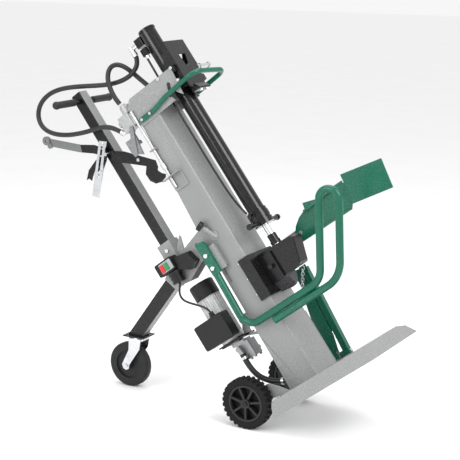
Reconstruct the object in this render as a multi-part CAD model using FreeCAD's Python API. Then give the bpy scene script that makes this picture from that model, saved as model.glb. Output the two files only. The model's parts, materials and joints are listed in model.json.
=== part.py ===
import FreeCAD, Part
import os
import math

os.makedirs("parts", exist_ok=True)
V = FreeCAD.Vector

# ---------------------------------------------------------------------------
# Vertical hydraulic log splitter, parked in its transport pose.
# All lengths are millimetres.  Every piece is drawn in the machine frame:
#   X forward from the rear edge of the base, Y across (the operator's side is
#   -Y), Z up the column from the underside of the base.
# At the end the machine is leaned back by TILT about its wheel axle, so that it
# stands on its two main wheels and the caster.
# ---------------------------------------------------------------------------
TILT = 36.8            # lean of the column from vertical, degrees
AXLE_X, AXLE_Z = -93.8, 105.6
WHEEL_R, WHEEL_W, TRACK = 104.0, 52.0, 438.0
BASE_L, BASE_W, BASE_H, SHEET = 495.0, 430.0, 60.0, 4.0
COL_W, COL_FRONT = 180.0, 184.0
COL_REAR_LOW, COL_REAR_MID, COL_REAR_TOP = 41.0, 51.0, 92.0
COL_MID_Z = 800.0
COL_TOP = 1380.0
CYL_X, CYL_R, CYL_LOW, CYL_TOP = 283.0, 35.0, 735.0, 1590.0
BORE_R = 30.0
ROD_R = 14.0
HANDLE_X0, HANDLE_X1, HANDLE_HY = -183.0, -133.0, 27.0
HANDLE_TOP, HANDLE_LOW = 1576.0, 762.0
STRUT_P = V(-224.5, 0, 690.4)
STRUT_SLOPE = 17.46    # fall of the strut towards the caster, degrees
CASTER_R, CASTER_W = 97.0, 40.0
MOTOR_X = -125.0
HOSE_D, PIPE_D, SUCT_D, LEAD_D = 20.0, 9.0, 24.0, 9.0

# ---- helpers ---------------------------------------------------------------
def box(x0, y0, z0, x1, y1, z1):
    return Part.makeBox(x1 - x0, y1 - y0, z1 - z0, V(x0, y0, z0))

def rod(p, d, r, length):
    d = V(*d) if not isinstance(d, FreeCAD.Vector) else d
    return Part.makeCylinder(r, length, p if isinstance(p, FreeCAD.Vector) else V(*p), d)

def pipe2(a, b, r):
    a = V(*a) if not isinstance(a, FreeCAD.Vector) else a
    b = V(*b) if not isinstance(b, FreeCAD.Vector) else b
    return Part.makeCylinder(r, b.sub(a).Length, a, b.sub(a))

def poly_y(pts, y0, y1):
    w = Part.makePolygon([V(x, y0, z) for x, z in pts] + [V(pts[0][0], y0, pts[0][1])])
    return Part.Face(w).extrude(V(0, y1 - y0, 0))

def poly_x(pts, x0, x1):
    w = Part.makePolygon([V(x0, y, z) for y, z in pts] + [V(x0, pts[0][0], pts[0][1])])
    return Part.Face(w).extrude(V(x1 - x0, 0, 0))

def poly_z(pts, z0, z1):
    w = Part.makePolygon([V(x, y, z0) for x, y in pts] + [V(pts[0][0], pts[0][1], z0)])
    return Part.Face(w).extrude(V(0, 0, z1 - z0))

def fuse(*s):
    out = s[0].fuse(list(s[1:])) if len(s) > 1 else s[0]
    return out.removeSplitter()

def round_edges(shape, r, pick):
    es = [e for e in shape.Edges if pick(e)]
    if not es:
        return shape
    try:
        f = shape.makeFillet(r, es)
        if f.isValid() and f.Volume > 0:
            return f
    except Exception:
        pass
    return shape

def along(axis):
    def f(e):
        if not isinstance(e.Curve, Part.Line):
            return False
        d = e.Curve.Direction
        return abs(getattr(d, axis.lower())) > 0.999
    return f

def fillet_path(pts, radii):
    """Straight runs joined by tangent arcs; radii has one value per inner point."""
    edges, length = [], 0.0
    start = pts[0]
    for i in range(1, len(pts) - 1):
        a, b, c = pts[i - 1], pts[i], pts[i + 1]
        u = a.sub(b); v = c.sub(b)
        u.normalize(); v.normalize()
        turn = math.pi - u.getAngle(v)
        r = radii[i - 1]
        t = r * math.tan(turn / 2)
        p, q = b + u * t, b + v * t
        bis = u + v
        bis.normalize()
        m = b + bis * (r / math.cos(turn / 2) - r)
        if p.sub(start).Length > 1e-3:
            edges.append(Part.LineSegment(start, p).toShape())
            length += p.sub(start).Length
        edges.append(Part.Arc(p, m, q).toShape())
        length += r * turn
        start = q
    edges.append(Part.LineSegment(start, pts[-1]).toShape())
    length += pts[-1].sub(start).Length
    return edges, length

def sweep(edges, d, r):
    wire = Part.Wire(edges)
    c = Part.Wire([Part.Circle(edges[0].valueAt(edges[0].FirstParameter), d, r).toShape()])
    s = wire.makePipeShell([c], True, False)
    if s.ShapeType != "Solid":
        s = Part.Solid(s)
    if s.Volume < 0:
        s.reverse()
    return s

def hose(name, pts, dia):
    """A hose or lead: each arc is 0.45 of the shorter run over tan(half turn)."""
    P = [V(*p) for p in pts]
    radii = []
    for i in range(1, len(P) - 1):
        r1, r2 = P[i].sub(P[i - 1]).Length, P[i + 1].sub(P[i]).Length
        u, v = P[i - 1].sub(P[i]), P[i + 1].sub(P[i])
        turn = math.pi - u.getAngle(v)
        radii.append(0.45 * min(r1, r2) / math.tan(turn / 2))
    edges, length = fillet_path(P, radii)
    s = sweep(edges, P[1].sub(P[0]), dia / 2)
    print(name, "length %.0f" % length, "least radius %.0f" % min(radii),
          "radii", [int(r) for r in radii],
          "volume ratio %.4f" % (s.Volume / (math.pi * dia * dia / 4 * length)))
    return s

def bent_tube(pts, radii, r, wall=None):
    P = [V(*p) for p in pts]
    edges, _ = fillet_path(P, radii)
    s = sweep(edges, P[1].sub(P[0]), r)
    if wall:
        edges, _ = fillet_path(P, radii)
        s = s.cut(sweep(edges, P[1].sub(P[0]), r - wall))
    return s

def hexbolt(p, d, af, h, shank_r=None, shank=0):
    """Hexagon head standing on p along d, with an optional shank the other way."""
    p = V(*p); d = V(*d); d.normalize()
    r = af / 2 / math.cos(math.pi / 6)
    pts = [V(r * math.cos(math.pi / 3 * k), r * math.sin(math.pi / 3 * k), 0) for k in range(7)]
    s = Part.Face(Part.makePolygon(pts)).extrude(V(0, 0, h))
    cone = Part.makeCone(r * 1.02, r * 0.86, h * 0.3, V(0, 0, h * 0.7))
    s = s.cut(box(-50, -50, h * 0.7, 50, 50, h + 1)).fuse(
        Part.Face(Part.makePolygon(pts)).extrude(V(0, 0, h)).common(cone))
    if shank_r:
        s = s.fuse(Part.makeCylinder(shank_r, shank + 0.01, V(0, 0, -shank)))
    s = s.removeSplitter()
    s.Placement = FreeCAD.Placement(p, FreeCAD.Rotation(V(0, 0, 1), d))
    return s

PARTS = {}
def add(name, *solids):
    PARTS.setdefault(name, []).extend(solids)

# ---- base plate ------------------------------------------------------------
hw = BASE_W / 2
outer = box(0, -hw, 0, BASE_L, hw, BASE_H)
inner = box(-1, -hw + SHEET, -1, BASE_L - SHEET, hw - SHEET, BASE_H - SHEET)
base = outer.cut(inner)
# rear ends of the side flanges lean forward to clear the wheels
for s in (-1, 1):
    y0, y1 = (-hw - 1, -hw + SHEET + 0.5) if s < 0 else (hw - SHEET - 0.5, hw + 1)
    base = base.cut(poly_y([(-2, 33), (18, BASE_H + 1), (-2, BASE_H + 1)], y0, y1))
base = base.cut(box(-1, -hw - 1, BASE_H - SHEET - 0.01, 17, hw + 1, BASE_H + 1))
# the far front corner is cropped and its flange runs down to nothing
base = base.cut(poly_x([(95, BASE_H - SHEET - .01), (95, BASE_H + 1), (hw + 1, BASE_H + 1), (hw + 1, BASE_H - SHEET - .01)], BASE_L - 120, BASE_L + 1)
                .common(poly_z([(BASE_L + 2, 95), (BASE_L + 2, hw + 2), (BASE_L - 116, hw + 2)], 0, 80)))
base = base.cut(poly_x([(95, BASE_H + 1), (95, BASE_H - 2), (160, 44), (hw + 1, 4), (hw + 1, BASE_H + 1)], BASE_L - SHEET - 0.5, BASE_L + 1))
base = base.cut(poly_y([(375, BASE_H + 1), (375, BASE_H - SHEET + .01), (BASE_L + 1, 6), (BASE_L + 1, BASE_H + 1)], hw - SHEET - 0.5, hw + 1))
add("base_plate", base)

# ---- column: a tapered, welded box that is also the oil tank ----------------
def col_rear(z):
    if z < COL_MID_Z:
        return COL_REAR_LOW + (COL_REAR_MID - COL_REAR_LOW) * (z - BASE_H) / (COL_MID_Z - BASE_H)
    return COL_REAR_MID + (COL_REAR_TOP - COL_REAR_MID) * (z - COL_MID_Z) / (COL_TOP - COL_MID_Z)
def col_box(inset, z0, z1):
    return poly_y([(col_rear(z0) + inset, z0), (COL_FRONT - inset, z0), (COL_FRONT - inset, z1), (col_rear(z1) + inset, z1), (COL_REAR_MID + inset, COL_MID_Z)],
                  -COL_W / 2 + inset, COL_W / 2 - inset)
col = col_box(0, BASE_H, COL_TOP)
col = round_edges(col, 6.0, lambda e: isinstance(e.Curve, Part.Line) and abs(e.Curve.Direction.z) > 0.99)
col = col.cut(col_box(SHEET, BASE_H + SHEET, COL_TOP - SHEET))
# triangular foot plates at the rear of both sides, and the front strip's return
for s in (-1, 1):
    y0, y1 = sorted((s * COL_W / 2, s * (COL_W / 2 + 3)))
    col = col.fuse(poly_y([(50, 292), (43, BASE_H), (101, BASE_H)], y0, y1))
    col = col.fuse(poly_y([(170, BASE_H), (COL_FRONT - 1, BASE_H), (COL_FRONT - 1, 300), (176, 300)], y0, y1))
# narrow access slot in the operator's side, closed behind by a pocket
pocket = box(62, -91, 545, 72, -80, 610)
col = col.fuse(box(60, -86, 543, 74, -82, 612)).cut(box(62, -95, 545, 72, -84, 610))
col = col.removeSplitter()
add("column", col)

# ---- head: two side plates and a top tie that carry the cylinder ------------
head_pts = [(88, 1266), (284, 1268), (272, 1298), (303, 1298), (328, 1267), (340, 1386), (101, 1392), (70, 1364)]
plates = []
for s in (-1, 1):
    y0, y1 = sorted((s * 90.0, s * 94.0))
    p = poly_y(head_pts, y0, y1)
    slot = fuse(pipe2((292, y0 - 1, 1336), (292, y1 + 1, 1336), 9),
                poly_y([(284.5, 1341), (299.5, 1331), (284, 1290), (266, 1290)], y0 - 1, y1 + 1))
    p = p.cut(slot)
    plates.append(p)
tie = box(184, -90, 1372, 236, 90, 1376)
web = box(232, -90, 1290, 236, 90, 1376)
lug_a = box(88, -90, 1384, 100, 90, 1388)
head = fuse(plates[0], plates[1], tie, web, lug_a)
add("head_plate", head)

# ---- bracket that wraps the front of the cylinder ---------------------------
BW = 74.0
wz0, wz1 = 1287.0, 1492.0
webp = poly_x([(-BW, wz0), (-62, 1277), (44, 1284), (55, 1300), (70, 1365), (BW, 1395), (BW, 1446), (BW - 6, 1486), (BW - 12, wz1), (-BW + 10, wz1), (-BW, 1476)], 358, 362)
webp = webp.cut(poly_x([(-18, 1429), (30, 1427), (13, 1383), (-10, 1371)], 350, 370))
nf = poly_y([(300, 1300), (362, 1287), (362, wz1), (352, wz1), (300, 1400)], -BW, -BW + 4)
ff = poly_y([(300, 1300), (338, 1296), (362, 1385), (362, wz1), (352, wz1), (300, 1400)], BW - 4, BW)
# packers carry the flanges out to the head plates
pk = [box(302, s * 82 - 8, z - 14, 352, s * 82 + 8, z + 14) for s in (-1, 1) for z in (1318, 1376)]
pk += [box(x, min(s * 74, s * 94), z - 12, 352, max(s * 74, s * 94), z + 12) for s in (-1, 1) for x, z in ((335.2, 1318), (341, 1378))]
saddle = box(318.5, -70, 1300, 358, 70, 1306)
saddle2 = box(318.5, -70, 1450, 358, 70, 1456)
foot = poly_y([(340, 1262), (380, 1258), (380, 1264), (362, 1290), (340, 1290)], -40, 40)
brk = fuse(webp, nf, ff, saddle, saddle2, foot, *pk).cut(rod((351, BW, 1368), (0, 1, 0), 9.1, 60))
add("cylinder_bracket", brk)

# ---- hydraulic cylinder ----------------------------------------------------
tube = rod((CYL_X, 0, CYL_LOW), (0, 0, 1), CYL_R, CYL_TOP - CYL_LOW)
tube = tube.cut(rod((CYL_X, 0, CYL_LOW - 1), (0, 0, 1), BORE_R, CYL_TOP - CYL_LOW + 2))
add("cylinder_tube", tube)
cap = fuse(rod((CYL_X, 0, CYL_TOP), (0, 0, 1), 37.5, 10), rod((CYL_X, 0, CYL_TOP - 14), (0, 0, 1), BORE_R - 0.02, 15))
cap = round_edges(cap, 3.0, lambda e: isinstance(e.Curve, Part.Circle) and abs(e.Curve.Radius - 37.5) < .1 and e.BoundBox.ZMin > CYL_TOP + 9)
blk1 = box(212, -20, 1550, 249.5, 20, 1589)
blk1 = round_edges(blk1, 4, along("Z"))
blk2 = box(232, -46, 1500, 262, -31, 1532)
blk1 = blk1.cut(rod((CYL_X, 0, 1540), (0, 0, 1), CYL_R + 0.02, 60))
blk2 = blk2.cut(rod((CYL_X, 0, 1490), (0, 0, 1), CYL_R + 0.02, 60))
add("cylinder_cap", cap, blk1, blk2)
# gland: flange, nut with wrench flats, bore with running fit on the rod
gl = fuse(rod((CYL_X, 0, 668), (0, 0, 1), 42, 22), rod((CYL_X, 0, 690), (0, 0, 1), 39.5, 45),
          rod((CYL_X, 0, 734), (0, 0, 1), BORE_R - 0.02, 24),
          box(238, -14, 700, 250, 14, 735))
gl = gl.cut(rod((CYL_X, 0, 660), (0, 0, 1), ROD_R + 0.05, 120))
gl = fuse(gl, box(264, -50, 712, 290, -30, 735).cut(rod((CYL_X, 0, 640), (0, 0, 1), 36, 160)))
# cross bar of the gland, with a cap on each end
gl = gl.fuse([pipe2((CYL_X, -117, 680), (CYL_X, 117, 680), 10), pipe2((CYL_X, -120, 680), (CYL_X, -110, 680), 12.5),
              pipe2((CYL_X, 110, 680), (CYL_X, 120, 680), 12.5)])
gl = gl.cut(rod((CYL_X, 0, 660), (0, 0, 1), ROD_R + 0.05, 60))
gl = gl.removeSplitter()
add("cylinder_gland", gl)
# piston and rod
PIS_Z = 1465.0
pis = rod((CYL_X, 0, PIS_Z), (0, 0, 1), BORE_R - 0.05, 44)
pis = pis.cut(rod((CYL_X, 0, PIS_Z - 1), (0, 0, 1), 12, 46))
for dz in (9, 30):
    g = rod((CYL_X, 0, PIS_Z + dz), (0, 0, 1), BORE_R + 2, 5).cut(rod((CYL_X, 0, PIS_Z + dz - 1), (0, 0, 1), BORE_R - 3, 7))
    pis = pis.cut(g)
add("piston", pis)
rr = fuse(rod((CYL_X, 0, 560), (0, 0, 1), ROD_R, PIS_Z - 560), rod((CYL_X, 0, PIS_Z - 0.5), (0, 0, 1), 12, 60))
add("ram_rod", rr)
nut = fuse(rod((CYL_X, 0, 588), (0, 0, 1), 19, 36), rod((CYL_X, 0, 580.2), (0, 0, 1), 21.5, 14))
nut = nut.cut(rod((CYL_X, 0, 560), (0, 0, 1), ROD_R, 80))
nut = round_edges(nut, 2.5, lambda e: isinstance(e.Curve, Part.Circle) and e.Curve.Radius > 18 and e.BoundBox.ZMin > 623)
add("rod_nut", nut, hexbolt((CYL_X, 0, PIS_Z + 44), (0, 0, 1), 36, 14).cut(rod((CYL_X, 0, PIS_Z + 40), (0, 0, 1), 12, 30)))

# ---- wedge carriage --------------------------------------------------------
hd = poly_y([(196, 457), (340, 457), (349, 465), (382, 563), (372, 572), (232, 580), (196, 580)], -35, 35)
hd = round_edges(hd, 5, lambda e: along("Y")(e) is False and isinstance(e.Curve, Part.Line) and e.BoundBox.XMin > 340 and abs(e.Curve.Direction.y) < 0.01 and abs(abs(e.BoundBox.YMin) - 35) < .1)
hd = hd.cut(rod((CYL_X, 0, 555), (0, 0, 1), ROD_R, 40))
cheeks = [box(196, -46, 452, 262, -35, 566), box(196, 35, 452, 262, 46, 566)]
hd = fuse(hd, *cheeks)
hd = hd.fuse(pipe2((236, -60, 512), (236, 60, 512), 10)).removeSplitter()
add("wedge_head", hd)
# blade: a long wedge, sharp below, with a rounded front corner
bl = poly_x([(-33, 456.9), (33, 456.9), (33, 446), (3, 398), (-3, 398), (-33, 446)], 196.1, 276)
bl = bl.common(poly_y([(196, 457), (274, 457), (272, 415), (267, 407), (260, 403), (245, 401), (196, 408)], -40, 40))
add("wedge_blade", bl)
# guide shoes: channel around the front of the column, 0.4 clear of it
clr = 0.4
sh = box(144, -COL_W / 2 - 9, 415, 196, COL_W / 2 + 9, 598)
sh = sh.cut(box(140, -COL_W / 2 - 3.4, 410, COL_FRONT + clr, COL_W / 2 + 3.4, 610))
add("guide_shoes", sh.removeSplitter())
gb = []
for s in (-1, 1):
    for zz in (447, 517, 587):
        gb.append(hexbolt((144, s * 96.3, zz), (-1, 0, 0), 8, 5))
add("guide_bolts", *gb)

# ---- ports, fittings -------------------------------------------------------
fit = []
fit.append(fuse(rod((212, 0, 1573), (-1, 0, 0), 11, 20), rod((178, -2, 1546), (0.0, 0, 1), 12, 34), rod((192, 0, 1573), (-1, 0, 0), 9, 14),
                rod((178, -2, 1538), (0, 0, 1), 13.5, 16)))
fit.append(rod((247, -38.5, 1500), (0, 0, -1), 8, 14))          # union under the second block
fit.append(rod((277, -50, 724), (0, -1, 0), 7, 12))
band = rod((CYL_X, 0, 699), (0, 0, 1), 41.5, 22).cut(rod((CYL_X, 0, 690), (0, 0, 1), 39.6, 45))
band = band.cut(fuse(box(236, -15, 690, 252, 15, 740), box(262, -52, 710, 292, -28, 740)))
fit.append(band)
# union where the short hose meets the pipe inside the head
add("hose_fittings", *fit)

# ---- upper green hoop ------------------------------------------------------
UH = 105.0
uh = bent_tube([(172, -UH, 1287), (254, -UH, 1302), (432, -UH, 1309), (442, UH, 1291), (172, UH, 1284)], [90, 45, 45], 10.0, None)
for s in (-1, 1):
    y0, y1 = sorted((s * 97.0, s * 103.0))
    uh = uh.fuse(box(104, y0, 1279, 178, y1, 1300))
    c = rod((104, s * 97, 1289.5), (0, s, 0), 10.5, 6)
    uh = uh.fuse(c)
uh = uh.removeSplitter()
for s in (-1, 1):
    for x, z in ((108, 1289), (156, 1290)):
        uh = uh.cut(pipe2((x, s * 90, z), (x, s * 125, z), 4.2))
add("upper_hoop", uh)

# ---- guard hoop with its hand loop (operator's side) ------------------------
GY = -122.0
c0 = V(508.0, GY, 395)
u = V(math.sin(math.radians(34.2)), 0, math.cos(math.radians(34.2)))
n = V(u.z, 0, -u.x)
top = c0 + u * 280
l1, l2 = c0 - n * 41.5, c0 + n * 41.5
def atz(p, z):
    k = (z - p.z) / u.z
    return p + u * k
GZ1, GZ2 = 354.5, 323.4
gpts = [V(51, GY, 742), V(37, GY, GZ1), atz(l1, GZ1), top - n * 41.5, top + n * 41.5, atz(l2, GZ2), V(166, GY, GZ2)]
gh_edges, _ = fillet_path(gpts, [62, 85, 41.4, 41.4, 118])
gh = sweep(gh_edges, gpts[1].sub(gpts[0]), 15.0)
# flattened and drilled upper end
HB = ((51.7, 684.4), (49.7, 627.6))        # the two fixing bolts
gh = gh.cut(box(0, GY - 40, 596, 90, GY - 8, 760)).cut(box(0, GY + 8, 596, 90, GY + 40, 760))
gh = gh.fuse(poly_y([(31, 600), (72, 600), (74, 726), (66, 742), (44, 746), (36, 752), (30, 740)], GY - 8, GY + 8))
for xx, zz in HB:
    gh = gh.cut(pipe2((xx, GY - 30, zz), (xx, GY + 30, zz), 6.0))
weld = [box(x, GY - 4, 336, x + 26, GY + 4, 342) for x in (172, 306)]
gh = fuse(gh, *weld)
add("guard_hoop", gh)

# ---- far log-holding arm ---------------------------------------------------
FY0, FY1 = 103.0, 109.0
arc = []
fa = poly_y([(330, 536), (590, 534), (609, 555), (617, 652), (573, 652), (411, 640), (372, 626), (340, 605), (316, 576), (312, 552)], FY0, FY1)
fa = fa.fuse(poly_y([(573, 652), (411, 640), (411, 630), (573, 642)], 88, FY1))
fa = fa.fuse(poly_y([(330, 536), (590, 534), (590, 540), (330, 542)], 92, FY1))
fa = fa.fuse(poly_y([(421, 633), (428, 665), (480, 650), (500, 640)], 88, 92))
# end plate, tilted a little
pl = poly_y([(630, 673), (813, 635), (791, 516), (612, 550)], 97, 101)
pl = pl.fuse(poly_y([(604, 640), (640, 640), (632, 560), (600, 560)], 100.5, 103.5))
fa = fuse(fa, pl)
PIV = (345.0, 572.0)
fa = fa.cut(pipe2((PIV[0], 80, PIV[1]), (PIV[0], 130, PIV[1]), 8.06))
add("far_arm", fa)
# bracket from the column's far side out to the arm's pivot
fb = poly_y([(110, 590), (184, 590), (330, 592), (360, 580), (360, 560), (330, 552), (184, 500), (110, 500)], 112, 118)
fb = fb.fuse(box(112, 90, 502, 136, 112.5, 588))
fb = fb.fuse(pipe2((PIV[0], 101, PIV[1]), (PIV[0], 124, PIV[1]), 8.0))
fb = fb.fuse(pipe2((PIV[0], 110.0, PIV[1]), (PIV[0], 113, PIV[1]), 15.0))
add("far_bracket", fb.removeSplitter())

# ---- log lifter, folded up at the far edge of the base ----------------------
LY = 228.0
def sq_tube(a, b, w, y0, y1):
    a, b = V(*a), V(*b)
    d = b.sub(a); L = d.Length; d.normalize()
    nn = V(d.z, 0, -d.x)
    p = [a - nn * (w / 2), a + nn * (w / 2), b + nn * (w / 2), b - nn * (w / 2)]
    return poly_y([(q.x, q.z) for q in p], y0, y1)
leg_a = sq_tube((116, 0, 74), (174, 0, 466), 27, LY - 13, LY + 13)
leg_b = sq_tube((174, 0, 72), (206, 0, 458), 27, LY - 13, LY + 13)
cross = box(150, LY - 8, 176, 190, LY + 8, 440)
knuckle = fuse(pipe2((103, LY, 72), (131, LY, 72), 14), pipe2((145, LY, 72), (190, LY, 72), 14))
web_a = poly_y([(110, 102), (109, 188), (112, 264), (129, 330), (158, 403), (168, 430), (186, 430), (163, 160), (144, 92)], LY - 13, LY - 9)
lf = fuse(leg_a, leg_b, cross, knuckle, web_a)
lf = lf.cut(pipe2((90, LY, 72), (230, LY, 72), 7.06))
hook = fuse(box(190, LY - 16.5, 438, 224, LY - 12.9, 468), pipe2((215.4, LY - 14, 460.2), (215.4, LY - 34, 460.2), 2.4), pipe2((215.4, LY - 31, 460.2), (215.4, LY - 34, 460.2), 4.5))
lf = fuse(lf, hook)
add("lifter_frame", lf)
lh = [fuse(pipe2((100, LY, 72), (193, LY, 72), 7.0), box(133, hw, 58, 143, LY + 12, 86))]
lh[0] = lh[0].fuse([box(133, hw - 30, 60, 143, hw, 66)]).removeSplitter()
add("lifter_hinge", *lh)
# short chain hanging from the hook
links = []
cdx, cdz = -math.sin(math.radians(TILT)), -math.cos(math.radians(TILT))
for k in range(9):
    c = V(213 + 12.6 * k * cdx, LY - 26.6, 457 + 12.6 * k * cdz)
    ring = Part.makeTorus(6.2, 1.7, V(0, 0, 0), V(0, 0, 1))
    m = FreeCAD.Matrix(); m.scale(1.0, 1.5, 1.0)
    ring = ring.transformGeometry(m)
    r1 = FreeCAD.Rotation(V(1, 0, 0), 90)
    r2 = FreeCAD.Rotation(V(0, 0, 1), 90 if k % 2 else 0)
    r3 = FreeCAD.Rotation(V(0, 1, 0), TILT)
    ring.Placement = FreeCAD.Placement(c, r3.multiply(r2).multiply(r1))
    links.append(ring)
add("lifter_chain", *links)

# ---- filler neck and cap on the operator's side ------------------------------
nb, nt = V(110, -92, 738), V(94, -110.5, 784)
nd = nt.sub(nb); nd.normalize()
neck = pipe2(nb - nd * 12, nt, 10)
neck = neck.fuse(rod((110, -90, 738), (0, -1, 0), 20, 4))
neck = neck.fuse(rod(nb + nd * 34, nd, 13, 6)).cut(box(60, -90.0, 600, 180, 0, 900)).removeSplitter()
add("filler_neck", neck)
fc = fuse(rod(nt + nd * 0.3, nd, 15, 6), rod(nt + nd * 5.3, nd, 20, 20))
fc = round_edges(fc, 5, lambda e: isinstance(e.Curve, Part.Circle) and abs(e.Curve.Radius - 20) < .1)
add("filler_cap", fc)

# ---- towing handle ---------------------------------------------------------
def rect_tube(x0, x1, hy, z0, z1, wall, r):
    o = round_edges(box(x0, -hy, z0, x1, hy, z1), r, along("Z"))
    i = box(x0 + wall, -hy + wall, z0 - 1, x1 - wall, hy - wall, z1 - 3)
    return o.cut(i)
hx = (HANDLE_X0 + HANDLE_X1) / 2
ht = rect_tube(HANDLE_X0, HANDLE_X1, HANDLE_HY, HANDLE_LOW, HANDLE_TOP, 3, 4)
BAR_Z, BAR_R, BAR_L = 1540.0, 11.0, 178.0
ht = ht.fuse(pipe2((hx, -BAR_L, BAR_Z), (hx, BAR_L, BAR_Z), BAR_R)).removeSplitter()
ht = ht.cut(pipe2((-160, -40, 808), (-160, 40, 808), 6.1))
add("handle_tube", ht)
gr = []
for s in (-1, 1):
    g = fuse(pipe2((hx, s * 62, BAR_Z), (hx, s * 186, BAR_Z), 15.0))
    g = round_edges(g, 4, lambda e: isinstance(e.Curve, Part.Circle))
    ball = Part.makeSphere(17, V(hx, s * 186, BAR_Z))
    g = g.fuse(ball).cut(pipe2((hx, s * 50, BAR_Z), (hx, s * BAR_L, BAR_Z), BAR_R)).removeSplitter()
    gr.append(g)
add("handle_grips", *gr)

# ---- strut bracket with the handle's socket ---------------------------------
sd = V(-math.cos(math.radians(STRUT_SLOPE)), 0, -math.sin(math.radians(STRUT_SLOPE)))
sn = V(-sd.z, 0, sd.x)           # across the strut, upward side is -sn
def sp(k, h):
    q = STRUT_P + sd * k - sn * h
    return (q.x, q.z)
side = [(46, 806), (-72, 777), (-128, 758), (-128, 843), (-196, 843), (-196, 746), sp(0, 32), sp(10, 32), sp(10, -30), sp(0, -30), (-140, 650), (-48, 686), (46, 716)]
sides = [poly_y(side, -33, -29), poly_y(side, 29, 33)]
sback = box(-132, -29, 758, -128, 29, 843)
sfront = box(-196, -29, 746, -192, 29, 843)
toplip = poly_y([(46, 806), (-72, 777), (-72, 773), (46, 802)], -29, 29)
colpl = poly_y([(col_rear(700) - 0.05, 700), (COL_REAR_MID - 0.05, COL_MID_Z), (col_rear(830) - 0.05, 830), (44.5, 830), (44.5, 700)], -60, 60)
sb = fuse(sides[0], sides[1], sback, sfront, toplip, colpl)
sb = sb.cut(pipe2((-160, -40, 808), (-160, 40, 808), 6.1))
# small pin plate in front of the socket
sb = sb.fuse(poly_y([(-124, 790), (-76, 832), (-72, 826), (-90, 770), (-124, 762)], -26, -22))
sb = sb.fuse(box(-129, -29.5, 764, -122, -20, 800)).removeSplitter()
add("strut_bracket", sb)

# ---- strut tube down to the caster -------------------------------------------
def sq_along(p, d, w_in, wy, k0, k1, wall):
    nn = V(-d.z, 0, d.x)
    def q(k, h):
        r_ = p + d * k + nn * h
        return (r_.x, r_.z)
    o = poly_y([q(k0, -w_in), q(k1, -w_in), q(k1, w_in), q(k0, w_in)], -wy, wy)
    i = poly_y([q(k0 - 1, -w_in + wall), q(k1 + 1, -w_in + wall), q(k1 + 1, w_in - wall), q(k0 - 1, w_in - wall)], -wy + wall, wy - wall)
    return o, i
# wedge-cut at the caster plate, which is level in the transport pose
lev_u = V(math.cos(math.radians(TILT)), 0, -math.sin(math.radians(TILT)))     # level, forward
lev_v = V(math.sin(math.radians(TILT)), 0, math.cos(math.radians(TILT)))      # plumb, upward
def world_to_m(wx, wz):
    """A point given from the ground line under the axle, back in the machine frame."""
    c, s = math.cos(math.radians(TILT)), math.sin(math.radians(TILT))
    zz = wz - WHEEL_R
    return V(AXLE_X + wx * c + zz * s, 0, AXLE_Z - wx * s + zz * c)
SWX = -640.0                     # swivel axis, behind the axle line on the ground
PL_Z = 235.0                     # top of the caster's mounting plate
so, si = sq_along(STRUT_P, sd, 28.5, 25, -40, 400, 3)
cut = []
a = world_to_m(SWX - 200, PL_Z - 4); b = world_to_m(SWX + 200, PL_Z - 4)
c_ = world_to_m(SWX + 200, PL_Z - 300); d_ = world_to_m(SWX - 200, PL_Z - 300)
trim = poly_y([(q.x, q.z) for q in (a, b, c_, d_)], -80, 80)
st = so.cut(si).cut(trim)
pa, pb = world_to_m(SWX - 52, PL_Z - 6), world_to_m(SWX + 52, PL_Z - 6)
pc, pd = world_to_m(SWX + 52, PL_Z), world_to_m(SWX - 52, PL_Z)
plate = poly_y([(q.x, q.z) for q in (pa, pb, pc, pd)], -44, 44)
st = st.fuse(plate)
pc0 = world_to_m(SWX, PL_Z - 7)
st = st.cut(rod(pc0, lev_v, 8.05, 9)).removeSplitter()
for sx in (-38, 38):
    for sy in (-32, 32):
        pp = world_to_m(SWX + sx, PL_Z - 7); pp.y = sy
        st = st.cut(rod(pp, lev_v, 4.2, 9))
add("strut_tube", st)

# ---- caster ------------------------------------------------------------------
CZ = CASTER_R
TRAIL = -42.0
def wpt(x, y, z):
    q = world_to_m(x, z); q.y = y
    return q
def wframe(shape):
    """Place a shape drawn plumb (origin under the swivel axis on the ground)."""
    shape = shape.copy()
    o = world_to_m(SWX, 0.0)
    shape.Placement = FreeCAD.Placement(o, FreeCAD.Rotation(V(0, 1, 0), TILT)).multiply(shape.Placement)
    return shape
swivel = fuse(rod((0, 0, PL_Z - 12.5), (0, 0, 1), 34, 6), rod((0, 0, PL_Z - 7), (0, 0, 1), 8, 14))
crown = round_edges(box(-30, -38, PL_Z - 22, 34, 38, PL_Z - 12.5), 8, along("Z"))
legs = []
for s in (-1, 1):
    y0, y1 = sorted((s * 34.0, s * 38.0))
    pts = [(-26, PL_Z - 13), (32, PL_Z - 13), (24, PL_Z - 60), (TRAIL + 17, CZ + 6), (TRAIL + 14, CZ - 12), (TRAIL, CZ - 19), (TRAIL - 14, CZ - 13), (TRAIL - 20, CZ + 4), (-28, PL_Z - 66)]
    legs.append(poly_y(pts, y0, y1))
pin = pipe2((TRAIL, -38, CZ), (TRAIL, 38, CZ), 6.0)
heads = [hexbolt((TRAIL, s * 38, CZ), (0, s, 0), 16, 7) for s in (-1, 1)]
fork = fuse(crown, swivel, legs[0], legs[1], pin, *heads)
add("caster_fork", wframe(fork))
tw = pipe2((TRAIL, -CASTER_W / 2, CZ), (TRAIL, CASTER_W / 2, CZ), CASTER_R)
tw = round_edges(tw, 11, lambda e: isinstance(e.Curve, Part.Circle))
for s in (-1, 1):
    tw = tw.cut(pipe2((TRAIL, s * (CASTER_W / 2 - 8), CZ), (TRAIL, s * (CASTER_W / 2 + 2), CZ), 60))
tw = tw.fuse(pipe2((TRAIL, -33, CZ), (TRAIL, 33, CZ), 20)).cut(pipe2((TRAIL, -35, CZ), (TRAIL, 35, CZ), 6.05)).removeSplitter()
add("caster_wheel", wframe(tw))

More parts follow.
